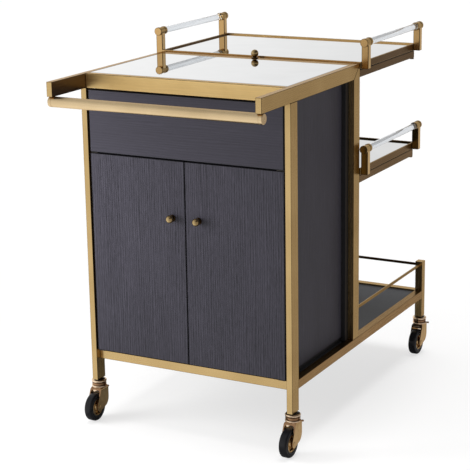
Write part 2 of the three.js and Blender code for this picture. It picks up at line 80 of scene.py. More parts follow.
# Axis of the view direction, its start and end, and the sky's strength at each.
SKY_FADES = (("X", -0.54, -0.40, 1.15, 0.97), ("X", -0.40, 0.50, 1.0, 0.53),
             ("Z", -0.75, -0.2, 1.2, 1.0), ("Z", 0.2, 0.9, 1.0, 0.55))
SKY_DARK_CORNER = (("X", 0.05, 0.35, 1.0, 0.25), ("Z", 0.30, 0.50, 1.0, 0.25))
SKY_LEFT, SKY_RIGHT = (1.0, 1.0, 1.0, 1), (1.0, 0.89, 0.85, 1)
FLOOR_HALF = 60
FLOOR_DROP = 0.2 * MM  # keeps the floor clear of the tyres' lowest points
FLOOR_GREYS, FLOOR_GLOW = (0.35, 0.37), 0.665
WALL_RADIUS, WALL_FOOT, WALL_TOP, WALL_FACETS = 55, -1, 30, 64
WALL_GREYS = (0.99, 1.0)
SHADE_HALF_WIDTH, SHADE_HALF_DEPTH = 0.30, 0.50
SHADE_GREYS = (0.30, 0.36)

# Materials
BRASS_DARK, BRASS_LIGHT = (0.50, 0.345, 0.15), (0.60, 0.425, 0.195)
BRASS_GLANCING = (0.70, 0.62, 0.55)  # its tint where it is seen at a glancing angle
RIB_PITCH = 6.2 * MM  # of the veneer's grain
RIB_WANDER = 14 * MM

# Edges
EDGE = 2.0 * MM  # rounding of the tubes' edges
FINE = {"bevel": 0.3 * MM, "segments": 2}  # rounding of small pieces' edges
SHARP = 28  # degrees between two faces that meet in an edge
FACING = 0.9  # how far a face's normal points along an axis, to count as facing it

# Trays
RIM = 4 * MM  # the bars' thickness, and how far they stand above the mirror
RIM_INSET = 0.3 * MM  # gap round and under the mirror, and off the rim's height
FOOT = 2.5 * MM  # height of the dark foot that shows under the rim
FOOT_INSET = 3 * MM
SHEET = 1.5 * MM  # thickness of the sheet under the mirror
MITRE_GAP = 0.12 * MM  # off each end of a bar
KNUCKLE = 33 * MM  # length of the turned end of a handle
KNUCKLE_WALL = 2.5 * MM  # from the rod's radius to the knuckle's
ROD_SEAT = 9 * MM  # how deep the rod sits in the knuckle
ROD_GAP = 0.3 * MM  # between the rod and its seat
POST_DEEP = 16 * MM
POST_HALF = 9 * MM  # half the post's width
POST_INSET = 6 * MM  # from the knuckle's outer end
POST_SINK = 3 * MM  # from the rod's axis down to the post's top

# Casters
CASTER_TRAIL = 24 * MM  # from the axle back to the swivel's axis
HOUSING_RADIUS = 18 * MM
HOUSING_HEIGHT = 22 * MM
STEM_RADIUS = 5 * MM
STEM_SUNK = 22 * MM  # how far the stem reaches up into the leg
SCREW_DROP = 17 * MM  # the lock screw's axis, below the housing's top
HUB_RADIUS = 22 * MM
TYRE_SHOULDER = 5 * MM
WHEEL_GAP = 2 * MM  # between the wheel and each arm of the fork
FORK_THICK = 3.5 * MM
CROWN_DROP = 19 * MM  # the fork's top, below the housing's top
ROOF_DROP = 8.5 * MM  # the arch's inside, below the fork's top
TYRE_GAP = 1.5 * MM  # between the tyre and the web over it


# ---- Camera, studio and light -------------------------------------------------------------
def add_camera():
    """The camera at the photograph's place and angle."""
    data = bpy.data.cameras.new("camera")
    data.sensor_width = SENSOR_WIDTH
    data.lens = LENS
    data.clip_end = CLIP_END
    camera = bpy.data.objects.new("camera", data)
    azimuth, elevation, roll = (math.radians(a) for a in CAMERA_TURN)
    forward = Vector((-math.sin(azimuth) * math.cos(elevation),
                      math.cos(azimuth) * math.cos(elevation), -math.sin(elevation)))
    level = Vector((math.cos(azimuth), math.sin(azimuth), 0))
    upright = level.cross(forward)
    right = level * math.cos(roll) + upright * math.sin(roll)
    up = upright * math.cos(roll) - level * math.sin(roll)
    axes = Matrix((right, up, -forward)).transposed().to_4x4()
    camera.matrix_world = Matrix.Translation(CAMERA_PLACE) @ axes
    bpy.context.scene.collection.objects.link(camera)
    bpy.context.scene.camera = camera


def add_light(kind, name, place, target, power, **settings):
    """A soft light that neither the camera nor reflections show; metal mirrors the sky."""
    data = bpy.data.lights.new(name, kind)
    data.energy = power
    for key, value in settings.items():
        setattr(data, key, value)
    light = bpy.data.objects.new(name, data)
    light.location = place
    light.rotation_euler = (Vector(target) - Vector(place)).to_track_quat("-Z", "Y").to_euler()
    light.visible_glossy = False
    light.visible_camera = False
    bpy.context.scene.collection.objects.link(light)


def add_sky():
    """A soft studio sky: bright low down and on the left, dim and warm on the right."""
    world = bpy.data.worlds.new("studio")
    bpy.context.scene.world = world
    world.use_nodes = True
    tree = world.node_tree
    background = tree.nodes["Background"]
    coordinates = tree.nodes.new("ShaderNodeTexCoord")
    axes = tree.nodes.new("ShaderNodeSeparateXYZ")
    tree.links.new(coordinates.outputs["Generated"], axes.inputs[0])

    def fade(axis, start, end, low, high):
        node = tree.nodes.new("ShaderNodeMapRange")
        sockets = {"From Min": start, "From Max": end, "To Min": low, "To Max": high}
        for socket, value in sockets.items():
            node.inputs[socket].default_value = value
        tree.links.new(axes.outputs[axis], node.inputs["Value"])
        return node.outputs["Result"]

    def combine(operation, a, b):
        node = tree.nodes.new("ShaderNodeMath")
        node.operation = operation
        tree.links.new(a, node.inputs[0])
        tree.links.new(b, node.inputs[1])
        return node.outputs[0]

    fades = [fade(*row) for row in SKY_FADES]
    strength = fades[0]
    for factor in fades[1:]:
        strength = combine("MULTIPLY", strength, factor)
    dark_right, dark_above = (fade(*row) for row in SKY_DARK_CORNER)
    strength = combine("MULTIPLY", strength, combine("MAXIMUM", dark_right, dark_above))
    tree.links.new(strength, background.inputs["Strength"])
    warmth = tree.nodes.new("ShaderNodeMix")
    warmth.data_type = "RGBA"
    left_to_right = fades[1]
    tree.links.new(left_to_right, warmth.inputs[0])
    warmth.inputs[6].default_value = SKY_RIGHT
    warmth.inputs[7].default_value = SKY_LEFT
    tree.links.new(warmth.outputs[2], background.inputs["Color"])


def studio_mesh(name, points, faces, paint, unseen_by):
    """A mesh of the studio that some kinds of ray pass through."""
    data = bpy.data.meshes.new(name)
    data.from_pydata(points, [], faces)
    data.materials.append(paint.material)
    made = bpy.data.objects.new(name, data)
    bpy.context.scene.collection.objects.link(made)
    for ray in unseen_by:
        setattr(made, f"visible_{ray}", False)
    return made


def matt_paint(name, socket, scale, dark, light):
    """A matt paint without gloss, faintly patchy between two greys in one socket."""
    paint = Material(name)
    paint.ramp_to(socket, paint.noise(scale, detail=2), (dark,) * 3, (light,) * 3)
    paint.set(Roughness=0.9, **{"Specular IOR Level": 0.0})
    return paint


def rectangle(half_width, half_depth):
    """Points and faces of one level rectangle round the origin."""
    corners = ((-1, -1), (1, -1), (1, 1), (-1, 1))
    return [(x * half_width, y * half_depth, 0) for x, y in corners], [(0, 1, 2, 3)]


def add_floor():
    """A pale floor that glows a little, so that the shade on it stays light."""
    paint = matt_paint("studio_floor", "Base Color", 3, *FLOOR_GREYS)
    paint.set(**{"Emission Strength": FLOOR_GLOW, "Emission Color": (1, 1, 1, 1)})
    points, faces = rectangle(FLOOR_HALF, FLOOR_HALF)
    floor = studio_mesh("floor", points, faces, paint, ("glossy",))
    floor.location.z = -FLOOR_DROP


def add_wall():
    """A white wall far off, which only the camera sees, where the floor ends."""
    paint = matt_paint("studio_wall", "Emission Color", 3, *WALL_GREYS)
    paint.set(**{"Emission Strength": 1.0, "Base Color": (0.02, 0.02, 0.02, 1)})
    angles = [math.tau * i / WALL_FACETS for i in range(WALL_FACETS)]
    points = [(WALL_RADIUS * math.cos(a), WALL_RADIUS * math.sin(a), z)
              for z in (WALL_FOOT, WALL_TOP) for a in angles]
    faces = []
    for i in range(WALL_FACETS):
        j = (i + 1) % WALL_FACETS
        faces.append((i, j, WALL_FACETS + j, WALL_FACETS + i))
    unseen_by = ("diffuse", "glossy", "shadow", "transmission", "volume_scatter")
    wall = studio_mesh("studio_wall", points, faces, paint, unseen_by)


def add_shade():
    """The shaded floor under the trolley, as its metal mirrors it."""
    paint = matt_paint("floor_in_shade", "Base Color", 4, *SHADE_GREYS)
    points, faces = rectangle(SHADE_HALF_WIDTH, SHADE_HALF_DEPTH)
    unseen_by = ("camera", "diffuse", "shadow", "transmission", "volume_scatter")
    shade = studio_mesh("floor_shade", points, faces, paint, unseen_by)


# ---- Materials ----------------------------------------------------------------------------
class Material:
    """A Principled material with short calls for the few procedural nodes used here.

    Everything is placed in the object's own metres, so a noise scale counts spots a metre.
    """

    def __init__(self, name):
        self.material = bpy.data.materials.new(name)
        self.material.use_nodes = True
        self.tree = self.material.node_tree
        self.shader = self.tree.nodes["Principled BSDF"]
        self.place = self.new("ShaderNodeTexCoord").outputs["Object"]

    def new(self, kind, **settings):
        node = self.tree.nodes.new(kind)
        for key, value in settings.items():
            setattr(node, key, value)
        return node

    def link(self, output, target):
        self.tree.links.new(output, target)

    def set(self, **values):
        for socket, value in values.items():
            self.shader.inputs[socket].default_value = value

    def stretched(self, scale):
        node = self.new("ShaderNodeMapping")
        node.inputs["Scale"].default_value = scale
        self.link(self.place, node.inputs["Vector"])
        return node.outputs["Vector"]

    def noise(self, scale, detail=3, roughness=0.5, distortion=0.0, stretch=None):
        node = self.new("ShaderNodeTexNoise")
        node.inputs["Scale"].default_value = scale
        node.inputs["Detail"].default_value = detail
        node.inputs["Roughness"].default_value = roughness
        node.inputs["Distortion"].default_value = distortion
        place = self.place if stretch is None else self.stretched(stretch)
        self.link(place, node.inputs["Vector"])
        return node.outputs["Fac"]

    def math(self, operation, a, b=0):
        node = self.new("ShaderNodeMath", operation=operation)
        for socket, value in zip(node.inputs, (a, b)):
            if isinstance(value, (int, float)):
                socket.default_value = value
            else:
                self.link(value, socket)
        return node.outputs[0]

    def multiply(self, a, b):
        """One colour output times another."""
        node = self.new("ShaderNodeMix", data_type="RGBA", blend_type="MULTIPLY")
        node.inputs[0].default_value = 1.0
        self.link(a, node.inputs[6])
        self.link(b, node.inputs[7])
        return node.outputs[2]

    def ramp(self, source, dark, light, start=0.3, end=0.7):
        """A colour that goes from dark to light as the source goes from start to end."""
        node = self.new("ShaderNodeValToRGB")
        stops = ((start, dark), (end, light))
        for element, (position, color) in zip(node.color_ramp.elements, stops):
            element.position = position
            element.color = (*color, 1)
        self.link(source, node.inputs["Fac"])
        return node.outputs["Color"]

    def ramp_to(self, socket, source, dark, light, start=0.3, end=0.7):
        self.link(self.ramp(source, dark, light, start, end), self.shader.inputs[socket])

    def range(self, source, low, high, start=0.3, end=0.7):
        """A number that goes from low to high as the source goes from start to end."""
        node = self.new("ShaderNodeMapRange")
        sockets = {"From Min": start, "From Max": end, "To Min": low, "To Max": high}
        for socket, value in sockets.items():
            node.inputs[socket].default_value = value
        self.link(source, node.inputs["Value"])
        return node.outputs["Result"]

    def range_to(self, socket, source, low, high):
        self.link(self.range(source, low, high), self.shader.inputs[socket])

    def bump(self, height, distance, strength):
        node = self.new("ShaderNodeBump")
        node.inputs["Distance"].default_value = distance
        node.inputs["Strength"].default_value = strength
        self.link(height, node.inputs["Height"])
        self.link(node.outputs["Normal"], self.shader.inputs["Normal"])


def along(axis, fine, coarse):
    """Mapping scales that stretch a noise along one axis."""
    return tuple(coarse if name == axis else fine for name in "xyz")


def brass(name, axis, tone=(1.0, 1.0, 1.0), gloss=(0.20, 0.32), glancing=BRASS_GLANCING):
    """Antique brass, brushed along one axis and unevenly toned."""
    paint = Material(name)
    streaks = paint.noise(1, detail=4, roughness=0.65, stretch=along(axis, 900, 12))
    patches = paint.noise(7, detail=3, distortion=0.4)
    dark, light = (tuple(c * t for c, t in zip(color, tone))
                   for color in (BRASS_DARK, BRASS_LIGHT))
    fine = paint.ramp(streaks, (0.90, 0.90, 0.90), (1, 1, 1), 0.35, 0.65)
    brushed = paint.multiply(paint.ramp(patches, dark, light), fine)
    paint.link(brushed, paint.shader.inputs["Base Color"])
    paint.range_to("Roughness", streaks, *gloss)
    paint.bump(streaks, 0.02 * MM, 0.5)
    paint.set(Metallic=1.0, **{"Specular Tint": (*glancing, 1)})
    return paint.material


def bronze(name, dark, light, glancing):
    """Polished bronze plating of the casters, slightly smeared."""
    paint = Material(name)
    smears = paint.noise(60, detail=4, distortion=1.0)
    paint.ramp_to("Base Color", smears, dark, light)
    paint.range_to("Roughness", smears, 0.05, 0.12)
    paint.bump(paint.noise(900, detail=2), 0.01 * MM, 0.3)
    paint.set(Metallic=1.0, **{"Specular Tint": (*glancing, 1)})
    return paint.material


def steel():
    """Dark blued steel with upright wiping marks."""
    paint = Material("hinge_steel")
    wipes = paint.noise(1, detail=3, stretch=along("z", 700, 30))
    paint.ramp_to("Base Color", wipes, (0.035, 0.032, 0.030), (0.06, 0.055, 0.05))
    paint.range_to("Roughness", wipes, 0.30, 0.45)
    paint.bump(wipes, 0.01 * MM, 0.4)
    paint.set(Metallic=1.0)
    return paint.material


def mirror():
    """Silvered glass: nearly perfect, with faint wiping marks in its gloss."""
    paint = Material("mirror_glass")
    wipes = paint.noise(9, detail=4, distortion=1.5)
    paint.ramp_to("Base Color", wipes, (0.60, 0.605, 0.605), (0.64, 0.645, 0.645))
    paint.range_to("Roughness", wipes, 0.012, 0.035)
    paint.set(Metallic=1.0)
    return paint.material


def veneer(name, axis, dark, light, depth=1.0):
    """Stained open-grain veneer: ribs along one axis, broken by pores and a slow figure."""
    paint = Material(name)
    axes = paint.new("ShaderNodeSeparateXYZ")
    paint.link(paint.place, axes.inputs[0])
    others = [axes.outputs[other.upper()] for other in "xyz" if other != axis]
    across = paint.math("ADD", *others)
    wander = paint.noise(1, detail=3, roughness=0.6, stretch=along(axis, 55, 4))
    place = paint.math("ADD", across, paint.math("MULTIPLY", wander, RIB_WANDER))
    ribs = paint.math("SINE", paint.math("MULTIPLY", place, math.tau / RIB_PITCH))
    breaks = paint.noise(1, detail=3, roughness=0.6, stretch=along(axis, 120, 22))
    pores = paint.noise(1, detail=3, roughness=0.7, stretch=along(axis, 1100, 60))
    figure = paint.noise(1, detail=2, stretch=along(axis, 14, 3))
    height = paint.math("MULTIPLY", ribs, paint.range(breaks, 0.05, 0.5, 0.35, 0.65))
    height = paint.math("ADD", height, paint.range(pores, -0.5, 0.5))
    height = paint.math("ADD", height, paint.range(figure, -0.12, 0.12))
    shade = paint.range(height, 0.5 - 0.5 * depth, 0.5 + 0.5 * depth, -1, 1)
    paint.ramp_to("Base Color", shade, dark, light, 0.0, 1.0)
    paint.range_to("Roughness", pores, 0.50, 0.66)
    paint.bump(height, 0.12 * MM * depth, 0.6)
    paint.set(**{"Specular IOR Level": 0.3})
    return paint.material


def acrylic():
    """Clear acrylic, faintly blue, smeared along the rods."""
    paint = Material("clear_acrylic")
    smears = paint.noise(1, detail=3, stretch=along("y", 260, 6))
    paint.ramp_to("Base Color", smears, (0.66, 0.70, 0.74), (0.86, 0.88, 0.90))
    paint.range_to("Roughness", smears, 0.01, 0.05)
    paint.set(IOR=1.49, **{"Transmission Weight": 1.0})
    return paint.material


def rubber():
    """Satin black tyre with a fine moulded grain."""
    paint = Material("tyre_rubber")
    grain = paint.noise(1500, detail=2)
    dust = paint.noise(70, detail=3)
    paint.ramp_to("Base Color", dust, (0.003, 0.003, 0.004), (0.009, 0.009, 0.011), 0.35, 0.75)
    paint.range_to("Roughness", dust, 0.24, 0.38)
    paint.bump(grain, 0.03 * MM, 0.35)
    paint.set(**{"Specular IOR Level": 0.25})
    return paint.material


# Brass finishes other than the plain one: brushing axis, tone, and roughness from and to. The
# same brass reads as several tones in the photograph, under light that the sky here only partly
# repeats, so the tone differs between pieces.
BRASSES = {
    # A lighter copy for the front cross rail: painted light.
    "brass_rail_lit": ("x", (1.45, 1.48, 1.45), (0.34, 0.44)),
    # Paler and lighter for the push bar: a painted highlight.
    "brass_bar_painted_highlight": ("x", (1.2, 1.3, 1.7), (0.24, 0.34)),
    # Darker copies for each tray's bearer, rim and sheet: painted shade.
    "brass_tray_top": ("y", (0.29, 0.29, 0.40), (0.22, 0.32)),
    "brass_tray_middle": ("y", (0.44, 0.43, 0.54), (0.22, 0.32)),
    # A lighter copy for the handles' posts: painted light.
    "brass_post_lit": ("z", (1.62, 1.68, 1.9), (0.18, 0.28)),
    # Darker copies for the trays' front faces: painted shade where they mirror dark parts.
    "brass_front_middle": ("z", (0.44, 0.42, 0.30), (0.18, 0.28)),
    "brass_front_top": ("z", (1.0, 0.90, 0.82), (0.18, 0.28)),
    # Near-black, for the rounded edges of tubes, knuckles and posts.
    "brass_edge": ("y", (0.09, 0.07, 0.06), (0.20, 0.30)),
    # A darker copy for the side gallery bars: painted shade.
    "brass_gallery_shade": ("y", (0.7, 0.66, 0.6), (0.14, 0.20)),
    # A darker copy for the top faces of the side base rails: painted shade.
    "brass_top_shade": ("y", (0.60, 0.56, 0.56), (0.24, 0.34)),
    # A darker copy for the side base rails: painted shade.
    "brass_base_shade": ("y", (0.80, 0.74, 0.78), (0.24, 0.34)),
    # A darker copy for the side rails' inner faces: painted shade where they mirror dark parts.
    "brass_inner_shade": ("y", (0.42, 0.42, 0.56), (0.26, 0.36)),
    # Near-black, for the rear gallery bar and the knobs' roses: painted shade.
    "brass_painted_shade": ("z", (0.10, 0.08, 0.06), (0.24, 0.34)),
    "brass_knuckle": ("y", (0.98, 0.98, 0.98), (0.10, 0.18)),
    # A darker, glossier copy for the knobs' balls: painted shade in their reflections.
    "brass_knob": ("z", (0.75, 0.77, 0.80), (0.05, 0.10), (1.0, 1.0, 1.0)),
}
# Caster platings: the material's name, its dark and light colours, and its glancing tint.
BRONZES = {
    "bronze": ("caster_bronze", (0.56, 0.38, 0.18), (0.70, 0.50, 0.26), (0.75, 0.68, 0.60)),
    # A darker copy for the housing's drum, the lock screw and the fork's front, back and top:
    # painted shade.
    "bronze_shade": ("caster_housing", (0.22, 0.12, 0.06), (0.34, 0.20, 0.11),
                    (1.0, 0.97, 0.92)),
    # A paler copy for the housing's collar and lip and the web over the tyre: painted
    # highlights.
    "bronze_highlight": ("caster_lips", (0.62, 0.44, 0.28), (0.86, 0.68, 0.50),
                      (1.0, 0.97, 0.92)),
}
CHARCOAL = ((0.003, 0.003, 0.005), (0.058, 0.054, 0.072))
# Veneers: the material's name, grain axis, dark and light colours, and depth of the grain.
VENEERS = {
    "veneer_z": ("veneer_upright", "z", *CHARCOAL),
    "veneer_x": ("veneer_level", "x", *CHARCOAL, 0.35),
    "veneer_shelf": ("veneer_shelf", "x", (0.018, 0.019, 0.022), (0.075, 0.078, 0.085)),
    # Near-black boards inside the cabinet, also used as painted shade on board edges, the back
    # board's front and the trays' feet.
    "carcass": ("carcass", "x", (0.006, 0.006, 0.007), (0.016, 0.016, 0.018), 0.4),
}


def make_finishes():
    """Every finish of the trolley by its short name."""
    made = {f"brass_{axis}": brass(f"brass_{axis}", axis) for axis in "xyz"}
    made.update({name: brass(name, *settings) for name, settings in BRASSES.items()})
    made.update({name: bronze(*settings) for name, settings in BRONZES.items()})
    made.update(steel=steel(), mirror=mirror(), acrylic=acrylic(), rubber=rubber())
    made.update({name: veneer(*settings) for name, settings in VENEERS.items()})
    return made


# ---- Mesh helpers -------------------------------------------------------------------------
def smooth(data, sharp):
    """Smooth shading between the edges that turn by more than an angle in degrees."""
    for polygon in data.polygons:
        polygon.use_smooth = True
    data.set_sharp_from_angle(angle=math.radians(sharp))


def round_edges(made, width, segments, sharp):
    """Rounds the sharp edges of an object, and returns the modifier."""
    rounding = made.modifiers.new("rounding", "BEVEL")
    rounding.width = width
    rounding.segments = segments
    rounding.limit_method = "ANGLE"
    rounding.angle_limit = math.radians(sharp)
    rounding.harden_normals = True
    return rounding


def piece(name, mesh, material, bevel=0.0, segments=3, sharp=SHARP, edge=None):
    """An object from a bmesh, its sharp edges rounded, in a finish of their own if given."""
    data = bpy.data.meshes.new(name)
    bmesh.ops.recalc_face_normals(mesh, faces=mesh.faces)
    mesh.to_mesh(data)
    mesh.free()
    smooth(data, sharp)
    data.materials.append(material)
    made = bpy.data.objects.new(name, data)
    bpy.context.scene.collection.objects.link(made)
    if bevel:
        rounding = round_edges(made, bevel, segments, sharp)
        if edge:
            data.materials.append(edge)
            rounding.material = 1
    return made


def stand_for(made, node):
    """The piece takes the CAD node's place, on its body."""
    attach(made, NODES[node]["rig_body"])
    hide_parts(node)
    return made


def shade_faces(made, material, axis, way):
    """A finish of their own, painted darker as painted shade, for the flat faces that look along
    an axis.
    """
    made.data.materials.append(material)
    for face in made.data.polygons:
        if face.normal["xyz".index(axis)] * way > FACING:
            face.material_index = len(made.data.materials) - 1


def solid_of(node):
    """The CAD node's own surface with its triangles merged into flat faces."""
    mesh = bmesh.new()
    mesh.from_mesh(NODES[node].data)
    bmesh.ops.remove_doubles(mesh, verts=mesh.verts, dist=0.002 * MM)
    flat = math.radians(1)
    bmesh.ops.dissolve_limit(mesh, angle_limit=flat, verts=mesh.verts, edges=mesh.edges)
    clean = bmesh.new()
    spots = [clean.verts.new(v.co) for v in mesh.verts]
    mesh.verts.index_update()
    for face in mesh.faces:
        clean.faces.new([spots[v.index] for v in face.verts])
    mesh.free()
    return clean


def eased(node, material, bevel, edge=None):
    """The CAD node's own shape with its edges rounded."""
    made = piece(f"{node}_finished", solid_of(node), material, bevel, edge=edge)
    return stand_for(made, node)


def add_box(mesh, low, high):
    """A box between two corners."""
    low, high = Vector(low), Vector(high)
    size = high - low
    place = Matrix.Translation((low + high) / 2) @ Matrix.Diagonal((*size, 1))
    bmesh.ops.create_cube(mesh, size=1, matrix=place)


# Lays an upright axis of turning along each of the frame's axes.
TURN = {
    "x": Matrix(((0, 0, 1), (1, 0, 0), (0, 1, 0))).to_4x4(),
    "y": Matrix(((0, 1, 0), (0, 0, 1), (1, 0, 0))).to_4x4(),
    "z": Matrix.Identity(4),
}


def add_turned(mesh, profile, place, axis, facets, reverse):
    """A turned form from (radius, height) points along an axis, closed at both ends."""
    direction = -1 if reverse else 1
    matrix = Matrix.Translation(place) @ TURN[axis]
    rings = []
    for radius, height in profile:
        count = 1 if radius == 0 else facets
        ring = []
        for i in range(count):
            angle = math.tau * i / facets
            point = (radius * math.cos(angle), radius * math.sin(angle), direction * height)
            ring.append(mesh.verts.new(matrix @ Vector(point)))
        rings.append(ring)
    closed = zip(rings, rings[1:] + ([rings[0]] if profile[0][0] else []))
    for a, b in closed:
        for i in range(facets):
            j = (i + 1) % facets
            corners = [a[i % len(a)], a[j % len(a)], b[j % len(b)], b[i % len(b)]]
            unique = list(dict.fromkeys(corners))
            if len(unique) > 2:
                mesh.faces.new(unique)


def turned(node, name, material, profile, place, axis, facets=64, reverse=False, **edges):
    """A turned piece that stands for a CAD node."""
    mesh = bmesh.new()
    add_turned(mesh, profile, place, axis, facets, reverse)
    return stand_for(piece(name, mesh, material, **edges), node)


# Places a point (u, v) of an outline at w along an axis.
LIFT = {
    "x": lambda u, v, w: (w, u, v),
    "y": lambda u, v, w: (u, w, v),
    "z": lambda u, v, w: (u, v, w),
}


def add_prism(mesh, outline, low, high, axis):
    """An outline in the plane across an axis, carried along it from low to high."""
    ends = [[mesh.verts.new(LIFT[axis](u, v, w)) for u, v in outline] for w in (low, high)]
    mesh.faces.new(ends[0])
    mesh.faces.new(ends[1])
    for i in range(len(outline)):
        j = (i + 1) % len(outline)
        mesh.faces.new([ends[0][i], ends[0][j], ends[1][j], ends[1][i]])


def arc(centre, radius, start, end, steps):
    """Points of a round stretch of an outline, angles in degrees."""
    angles = [math.radians(start + (end - start) * i / steps) for i in range(steps + 1)]
    return [(centre[0] + radius * math.cos(a), centre[1] + radius * math.sin(a)) for a in angles]


def both_ways(half):
    """A profile's points on one side of its middle, and their mirror images after them."""
    return half + [(radius, -height) for radius, height in reversed(half)]


def rod_profile(radius, half):
    """A plain round rod, for add_turned."""
    return [(0, -half), (radius, -half), (radius, half), (0, half)]


def middle(node):
    """The middle of a CAD node's box."""
    low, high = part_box(node)
    return (low + high) / 2


# ---- Frame --------------------------------------------------------------------------------
def finish_tubes(finish):
    """Brushed tubes with darker edges, and faces painted darker, as painted shade, where they
    would mirror dark parts of the studio.
    """
    dark_edge = finish["brass_edge"]
    # The front cross rail is painted lighter, as painted light.
    eased("front_cross_rail", finish["brass_rail_lit"], EDGE, dark_edge)
    eased("lid_strip", finish["brass_x"], 1 * MM)
    for node in ("base_rail_front", "base_rail_middle", "base_rail_rear", "rear_cross_rail"):
        eased(node, finish["brass_x"], EDGE, dark_edge)
    for side, way in SIDES:
        rail = eased(f"side_rail_{side}", finish["brass_y"], EDGE, dark_edge)
        # The side rail's inner faces are painted darker, as painted shade.
        shade_faces(rail, finish["brass_inner_shade"], "x", -way)
        # The side base rail is painted darker, as painted shade.
        rail = eased(f"base_rail_{side}", finish["brass_base_shade"], EDGE, dark_edge)
        # Its top faces are painted darker still, as painted shade.
        shade_faces(rail, finish["brass_top_shade"], "z", 1)
        for node in (f"front_leg_{side}", f"mid_post_{side}", f"rear_leg_{side}"):
            eased(node, finish["brass_z"], EDGE, dark_edge)
    # The bearers take their tray's darker brass, as painted shade.
    for tray in TRAYS:
        eased(f"{tray}_tray_bearer", finish[f"brass_tray_{tray}"], EDGE, dark_edge)


def finish_push_bar(finish):
    """A round tube with a turned cap at each end, parted from it by a fine groove."""
    low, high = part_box("push_bar")
    centre = middle("push_bar")
    radius = (high.z - low.z) / 2
    half = (high.x - low.x) / 2
    cap = 9 * MM
    groove = 0.5 * MM
    chamfer = 1.2 * MM
    side = [(0, half), (radius - chamfer, half), (radius, half - chamfer),
            (radius, half - cap + groove), (radius - groove, half - cap + groove),
            (radius - groove, half - cap - groove), (radius, half - cap - groove)]
    # The push bar's paler, lighter brass is a painted highlight.
    turned("push_bar", "push_bar_turned", finish["brass_bar_painted_highlight"], both_ways(side), centre, "x",
           facets=96, bevel=0.25 * MM, segments=2)


def finish_gallery(finish):
    """The thin round bars that guard the bottom shelf, painted darker as painted shade; the rear
    one near-black, as painted shade where it mirrors the dark shelf.
    """
    bars = (("gallery_bar_left", "y", "brass_gallery_shade"),
            ("gallery_bar_right", "y", "brass_gallery_shade"),
            ("gallery_bar_rear", "x", "brass_painted_shade"))
    for node, axis, slot in bars:
        low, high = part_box(node)
        radius = (high.z - low.z) / 2
        half = (high["xy".index(axis)] - low["xy".index(axis)]) / 2
        turned(node, f"{node}_round", finish[slot], rod_profile(radius, half), middle(node),
               axis, facets=32, **FINE)


# ---- Cabinet ------------------------------------------------------------------------------
def finish_cabinet(finish):
    """Veneered doors and panels; the inside and the edges of the boards are plain and dark, the
    dark edges also painting the shade in the gaps between boards.
    """
    for side, _ in SIDES:
        eased(f"door_{side}", finish["veneer_z"], 1 * MM, finish["carcass"])
        eased(f"cabinet_side_{side}", finish["veneer_z"], 0.6 * MM)
    eased("apron", finish["veneer_x"], 1 * MM, finish["carcass"])
    back = eased("cabinet_back", finish["veneer_z"], 0.6 * MM)
    # All but the back face of the back board is near-black: painted shade in the gap beside the
    # middle posts.
    back.data.materials.append(finish["carcass"])
    for face in back.data.polygons:
        face.material_index = 0 if face.normal.y > FACING else 1
    eased("shelf_board", finish["veneer_shelf"], 0.8 * MM)
    for node in ("cabinet_floor", "cabinet_shelf", "well_floor", "lid_board"):
        eased(node, finish["carcass"], 0.6 * MM)
    for node in ("door_hinge_left", "door_hinge_right", "lid_hinge_rod"):
        eased(node, finish["steel"], 0.2 * MM)


def ball_profile():
    """The ball of a knob, from where it meets the stem to its tip."""
    ball, reach, stem, seat = 9.5 * MM, 12 * MM, 4 * MM, 3 * MM
    points = [(0, seat), (stem - 0.6 * MM, seat)]
    start = math.asin(stem / ball)
    steps = 24
    for i in range(steps):
        angle = start + (math.pi - start) * i / steps
        points.append((ball * math.sin(angle), reach - ball * math.cos(angle)))
    return points + [(0, reach + ball)]


def rose_profile():
    """The flat disc at a knob's foot, and the stem on it."""
    rose, stem = 8.5 * MM, 4.4 * MM
    return [(0, 0), (rose, 0), (rose, 1.6 * MM), (rose - 0.8 * MM, 2.4 * MM),
            (stem, 2.6 * MM), (stem, 4 * MM), (0, 4 * MM)]


def add_knob(node, foot, axis, reverse, finish):
    """A bright, glossy ball in a slightly darker brass, painted shade, on a stem and rose
    painted near-black, as painted shadow round the knob's foot.
    """
    parts = (("ball", ball_profile(), "brass_knob"), ("rose", rose_profile(), "brass_painted_shade"))
    for name, profile, slot in parts:
        turned(node, f"{node}_{name}", finish[slot], profile, foot, axis, reverse=reverse,
               bevel=0.15 * MM, segments=2, sharp=40)


def finish_knobs(finish):
    """A knob on each door, turned towards the front, and one upright on the lid."""
    for side, _ in SIDES:
        node = f"door_knob_{side}"
        foot = middle(node)
        foot.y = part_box(node)[1].y
        add_knob(node, foot, "y", True, finish)
    foot = middle("lid_knob")
    foot.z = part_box("lid_knob")[0].z
    add_knob("lid_knob", foot, "z", False, finish)


def finish_mirrors(finish):
    """The mirror glass of the lid and of both trays."""
    for node in ("lid_mirror", "top_tray_mirror", "middle_tray_mirror"):
        eased(node, finish["mirror"], 1.0 * MM)


# ---- Trays --------------------------------------------------------------------------------
def knuckle_profile(radius, bore):
    """From the outer disc, past a waist, to the collar that holds the rod."""
    waist = radius - 0.9 * MM
    return [(0, 0), (radius - 0.6 * MM, 0), (radius, 0.6 * MM), (radius, 7.5 * MM),
            (waist, 8.2 * MM), (waist, 24.5 * MM), (radius, 25.2 * MM),
            (radius, KNUCKLE - 0.5 * MM), (radius - 0.5 * MM, KNUCKLE), (bore, KNUCKLE),
            (bore, KNUCKLE - ROD_SEAT), (0, KNUCKLE - ROD_SEAT)]


